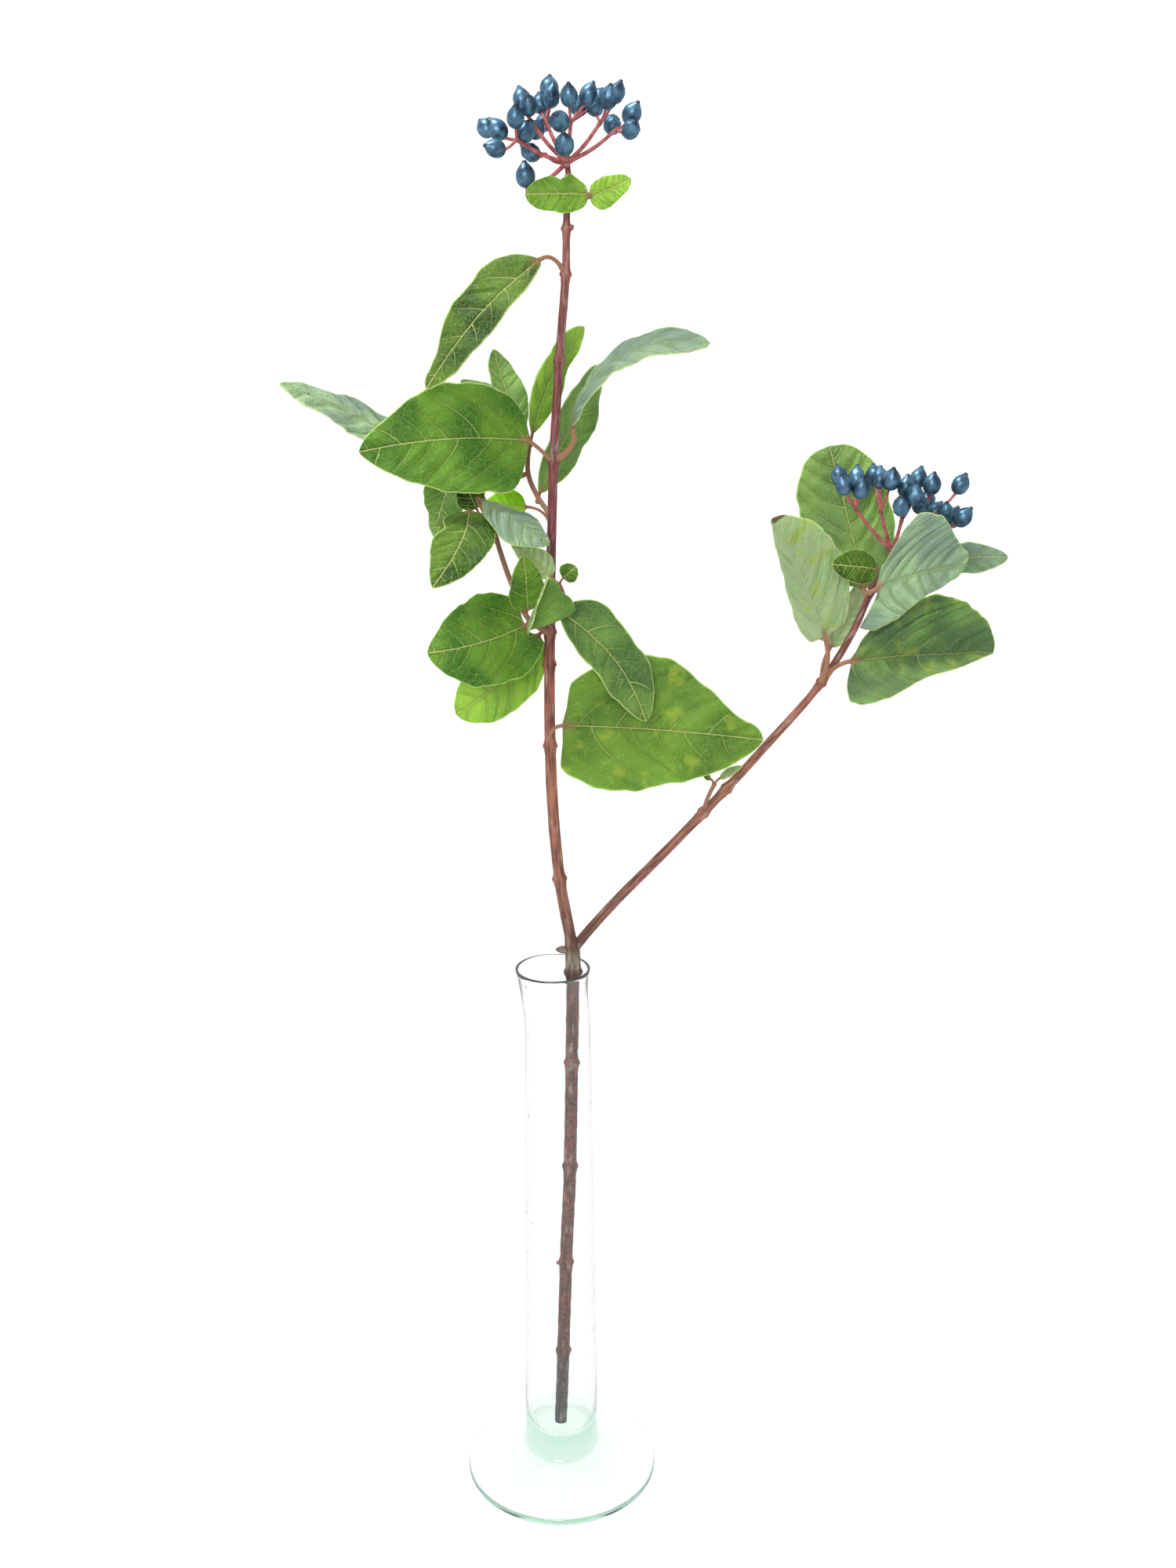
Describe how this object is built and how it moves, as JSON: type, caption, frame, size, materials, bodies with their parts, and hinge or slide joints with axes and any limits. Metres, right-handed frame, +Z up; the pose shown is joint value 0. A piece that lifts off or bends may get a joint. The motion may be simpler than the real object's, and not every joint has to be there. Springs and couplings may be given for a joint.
{
  "type": "viburnum berry stem in vase",
  "caption": "Cut viburnum stem with leaves and blue-black berry heads, standing in a slim clear glass bud vase on a wide flat foot.",
  "frame": {"origin": "centre of the vase's foot, on the surface that it stands on", "axes": "+Z up along the vase, +X to the side that the lower branch leans to, -Y towards the side with the open leaf faces"},
  "size_m": [0.2602, 0.078, 0.5451],
  "materials": {
    "glass": "clear, slightly green",
    "bark": "thin reddish brown bark",
    "leaf": "satin green, paler veins and margins",
    "berries": "dull metallic blue-black skin"
  },
  "bodies": {
    "root": {"vase": "glass", "stem": "bark", "leaf_crown_left": "leaf", "leaf_crown_right": "leaf", "leaf_upper_left": "leaf", "leaf_middle_left": "leaf", "leaf_middle_right": "leaf", "leaf_far_left": "leaf", "leaf_fan_left": "leaf", "leaf_fan_low": "leaf", "leaf_fan_right": "leaf", "leaf_rear_right": "leaf", "leaf_bright": "leaf", "leaf_left_rear": "leaf", "leaf_left_far": "leaf", "leaf_left_front": "leaf", "leaf_left_dark": "leaf", "leaf_left_high": "leaf", "leaf_knot_up": "leaf", "leaf_knot_fold": "leaf", "leaf_knot_broad": "leaf", "leaf_knot_sliver": "leaf", "leaf_below_left": "leaf", "leaf_below_right": "leaf", "leaf_broad_right": "leaf", "leaf_right_fold": "leaf", "leaf_right_round": "leaf", "leaf_bud_long": "leaf", "leaf_bud_short": "leaf", "leaf_branch_back": "leaf", "leaf_branch_front": "leaf", "leaf_branch_rear": "leaf", "leaf_head_rear": "leaf", "leaf_head_small": "leaf", "leaf_head_front": "leaf", "leaf_head_right": "leaf", "berries_top": "berries", "berries_side": "berries"}
  },
  "joints": []
}
